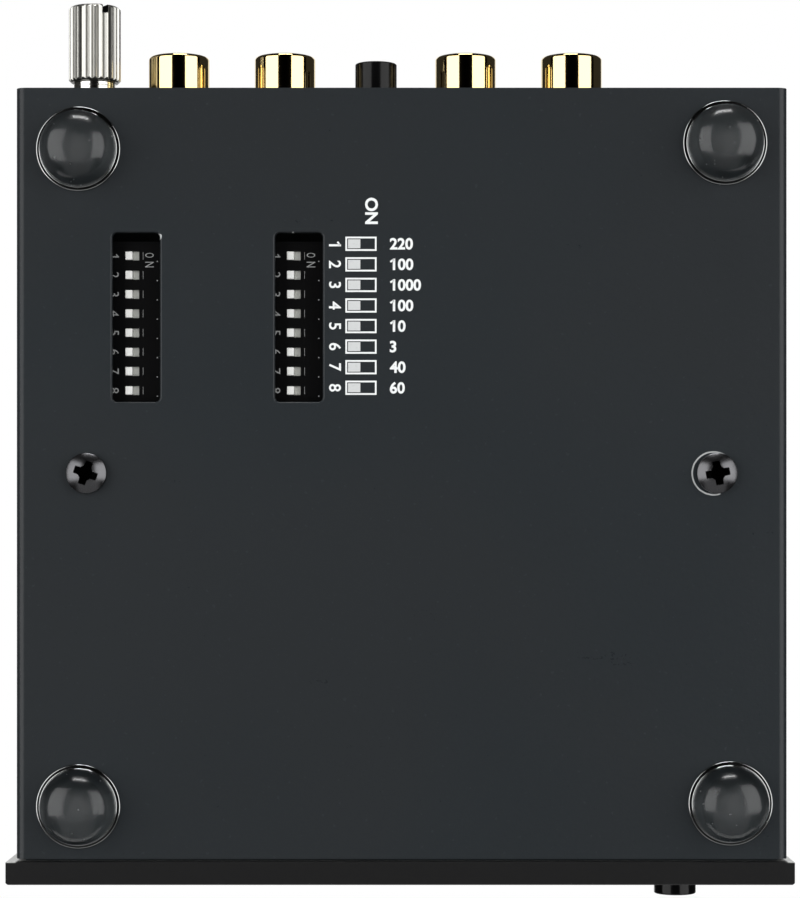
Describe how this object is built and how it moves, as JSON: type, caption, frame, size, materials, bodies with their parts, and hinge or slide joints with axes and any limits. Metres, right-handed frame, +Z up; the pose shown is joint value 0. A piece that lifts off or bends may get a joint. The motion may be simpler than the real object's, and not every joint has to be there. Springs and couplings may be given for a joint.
{
  "type": "phono preamp",
  "caption": "Small folded-steel phono preamp: thick front panel, clear stick-on feet, two lever switch banks behind windows in the base, rear phono sockets, earth post and push buttons",
  "frame": {"origin": "on the surface the feet stand on, under the middle of the whole outline", "axes": "+Z up; the front panel faces -Y, the sockets face +Y, and +X is to the right seen from the front"},
  "size_m": [0.103, 0.121, 0.036],
  "materials": {
    "case_coating": "fine matt powder coat, blue-grey black",
    "panel_finish": "satin black, bare metal at the back",
    "zinc_plate": "bright zinc plate",
    "dark_nickel_plate": "black nickel plate",
    "clear_rubber": "clear soft moulded bumper, slightly smoky over the dark case",
    "board_laminate": "green solder mask",
    "bank_plastic": "fine moulded black with white digits",
    "lever_plastic": "off-white nylon",
    "block_plastic": "black moulded",
    "gold_plate": "bright gold plate",
    "white_insert_plastic": "white moulded",
    "red_insert_plastic": "red moulded",
    "contact_plate": "gold flash on brass",
    "bright_nickel": "bright nickel plate",
    "tinned_metal": "tinned",
    "button_plastic": "glossy black",
    "lamp_lens": "tinted clear resin",
    "can_sleeve": "dark blue sleeve with a bare top",
    "film_case": "dark red moulded box",
    "chip_plastic": "dull black resin",
    "resistor_lacquer": "pale blue lacquer with colour bands"
  },
  "bodies": {
    "case": {"lower_shell": "case_coating", "upper_shell": "case_coating", "front_panel": "panel_finish", "panel_screws": "zinc_plate", "case_screws": "dark_nickel_plate", "board_standoffs": "zinc_plate", "board_pillars": "zinc_plate", "foot_front_left": "clear_rubber", "foot_front_right": "clear_rubber", "foot_rear_left": "clear_rubber", "foot_rear_right": "clear_rubber", "circuit_board": "board_laminate", "outer_bank_housing": "bank_plastic", "inner_bank_housing": "bank_plastic", "input_socket_block": "block_plastic", "output_socket_block": "block_plastic", "input_far_barrel": "gold_plate", "input_near_barrel": "gold_plate", "output_near_barrel": "gold_plate", "output_far_barrel": "gold_plate", "white_inserts": "white_insert_plastic", "red_inserts": "red_insert_plastic", "centre_contacts": "contact_plate", "ground_bush": "bright_nickel", "ground_nut": "bright_nickel", "ground_tag": "tinned_metal", "power_switch_body": "block_plastic", "filter_switch_body": "block_plastic", "inlet_body": "block_plastic", "inlet_pin": "bright_nickel", "inlet_spring": "bright_nickel", "power_lamp": "lamp_lens", "lamp_leads": "tinned_metal", "electrolytic_capacitors": "can_sleeve", "film_capacitors": "film_case", "amplifier_chips": "chip_plastic", "voltage_regulators": "chip_plastic", "resistors": "resistor_lacquer"},
    "outer_bank_lever_1": {"outer_bank_lever_1": "lever_plastic"},
    "outer_bank_lever_2": {"outer_bank_lever_2": "lever_plastic"},
    "outer_bank_lever_3": {"outer_bank_lever_3": "lever_plastic"},
    "outer_bank_lever_4": {"outer_bank_lever_4": "lever_plastic"},
    "outer_bank_lever_5": {"outer_bank_lever_5": "lever_plastic"},
    "outer_bank_lever_6": {"outer_bank_lever_6": "lever_plastic"},
    "outer_bank_lever_7": {"outer_bank_lever_7": "lever_plastic"},
    "outer_bank_lever_8": {"outer_bank_lever_8": "lever_plastic"},
    "inner_bank_lever_1": {"inner_bank_lever_1": "lever_plastic"},
    "inner_bank_lever_2": {"inner_bank_lever_2": "lever_plastic"},
    "inner_bank_lever_3": {"inner_bank_lever_3": "lever_plastic"},
    "inner_bank_lever_4": {"inner_bank_lever_4": "lever_plastic"},
    "inner_bank_lever_5": {"inner_bank_lever_5": "lever_plastic"},
    "inner_bank_lever_6": {"inner_bank_lever_6": "lever_plastic"},
    "inner_bank_lever_7": {"inner_bank_lever_7": "lever_plastic"},
    "inner_bank_lever_8": {"inner_bank_lever_8": "lever_plastic"},
    "power_button": {"power_button": "button_plastic"},
    "filter_button": {"filter_button": "button_plastic"},
    "ground_washer": {"ground_washer": "bright_nickel"},
    "ground_thumbscrew": {"ground_thumbscrew": "bright_nickel"}
  },
  "joints": [
    {"name": "outer_bank_lever_1_slide", "type": "slide", "parent": "case", "child": "outer_bank_lever_1", "axis": [-1, 0, 0], "range_m": [0, 0.0008]},
    {"name": "outer_bank_lever_2_slide", "type": "slide", "parent": "case", "child": "outer_bank_lever_2", "axis": [-1, 0, 0], "range_m": [0, 0.0008]},
    {"name": "outer_bank_lever_3_slide", "type": "slide", "parent": "case", "child": "outer_bank_lever_3", "axis": [-1, 0, 0], "range_m": [0, 0.0008]},
    {"name": "outer_bank_lever_4_slide", "type": "slide", "parent": "case", "child": "outer_bank_lever_4", "axis": [-1, 0, 0], "range_m": [0, 0.0008]},
    {"name": "outer_bank_lever_5_slide", "type": "slide", "parent": "case", "child": "outer_bank_lever_5", "axis": [-1, 0, 0], "range_m": [0, 0.0008]},
    {"name": "outer_bank_lever_6_slide", "type": "slide", "parent": "case", "child": "outer_bank_lever_6", "axis": [-1, 0, 0], "range_m": [0, 0.0008]},
    {"name": "outer_bank_lever_7_slide", "type": "slide", "parent": "case", "child": "outer_bank_lever_7", "axis": [-1, 0, 0], "range_m": [0, 0.0008]},
    {"name": "outer_bank_lever_8_slide", "type": "slide", "parent": "case", "child": "outer_bank_lever_8", "axis": [-1, 0, 0], "range_m": [0, 0.0008]},
    {"name": "inner_bank_lever_1_slide", "type": "slide", "parent": "case", "child": "inner_bank_lever_1", "axis": [-1, 0, 0], "range_m": [0, 0.0008]},
    {"name": "inner_bank_lever_2_slide", "type": "slide", "parent": "case", "child": "inner_bank_lever_2", "axis": [-1, 0, 0], "range_m": [0, 0.0008]},
    {"name": "inner_bank_lever_3_slide", "type": "slide", "parent": "case", "child": "inner_bank_lever_3", "axis": [-1, 0, 0], "range_m": [0, 0.0008]},
    {"name": "inner_bank_lever_4_slide", "type": "slide", "parent": "case", "child": "inner_bank_lever_4", "axis": [-1, 0, 0], "range_m": [0, 0.0008]},
    {"name": "inner_bank_lever_5_slide", "type": "slide", "parent": "case", "child": "inner_bank_lever_5", "axis": [-1, 0, 0], "range_m": [0, 0.0008]},
    {"name": "inner_bank_lever_6_slide", "type": "slide", "parent": "case", "child": "inner_bank_lever_6", "axis": [-1, 0, 0], "range_m": [0, 0.0008]},
    {"name": "inner_bank_lever_7_slide", "type": "slide", "parent": "case", "child": "inner_bank_lever_7", "axis": [-1, 0, 0], "range_m": [0, 0.0008]},
    {"name": "inner_bank_lever_8_slide", "type": "slide", "parent": "case", "child": "inner_bank_lever_8", "axis": [-1, 0, 0], "range_m": [0, 0.0008]},
    {"name": "power_button_press", "type": "slide", "parent": "case", "child": "power_button", "axis": [0, 1, 0], "range_m": [0, 0.0028], "stiffness_N_per_m": 600},
    {"name": "filter_button_press", "type": "slide", "parent": "case", "child": "filter_button", "axis": [0, -1, 0], "range_m": [0, 0.0028], "stiffness_N_per_m": 600},
    {"name": "ground_washer_slide", "type": "slide", "parent": "case", "child": "ground_washer", "axis": [0, 1, 0], "range_m": [0, 0.0025]},
    {"name": "ground_thumbscrew_turn", "type": "hinge", "parent": "ground_washer", "child": "ground_thumbscrew", "pos_m": [0.042, 0.0502, 0.0214], "axis": [0, 1, 0], "range_deg": [0, 1800]}
  ],
  "couplings": [
    {"joint": "ground_thumbscrew_turn", "follows": "ground_washer_slide", "rad_per_m": 12566}
  ]
}
